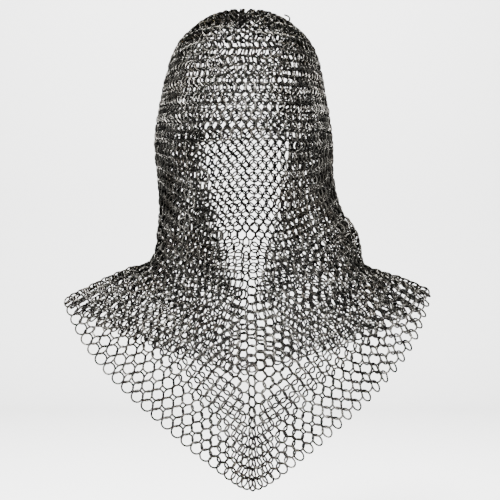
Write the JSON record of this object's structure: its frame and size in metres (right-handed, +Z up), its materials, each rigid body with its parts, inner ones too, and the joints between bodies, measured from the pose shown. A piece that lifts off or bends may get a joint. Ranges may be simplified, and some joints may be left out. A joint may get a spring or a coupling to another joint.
{
  "type": "chainmail coif",
  "caption": "Mail hood of linked steel rings with an open face, a round crown and a square mantle that hangs corner to the front over the shoulders.",
  "frame": {"origin": "the inside of the crown at its highest point, where the coif is held up", "axes": "+Z up, the face opening looks along -Y, +X is on the right as the face opening is looked at"},
  "size_m": [0.3693, 0.2713, 0.4625],
  "materials": {
    "mail": "blackened and oiled mild steel wire, satin, with the black worn to grey on the rings' faces"
  },
  "bodies": {
    "root": {"crown": "mail", "brow": "mail", "hood_left": "mail", "hood_right": "mail", "hood_back": "mail", "mantle_front_left": "mail", "mantle_front_right": "mail", "mantle_back_left": "mail", "mantle_back_right": "mail"}
  },
  "joints": []
}
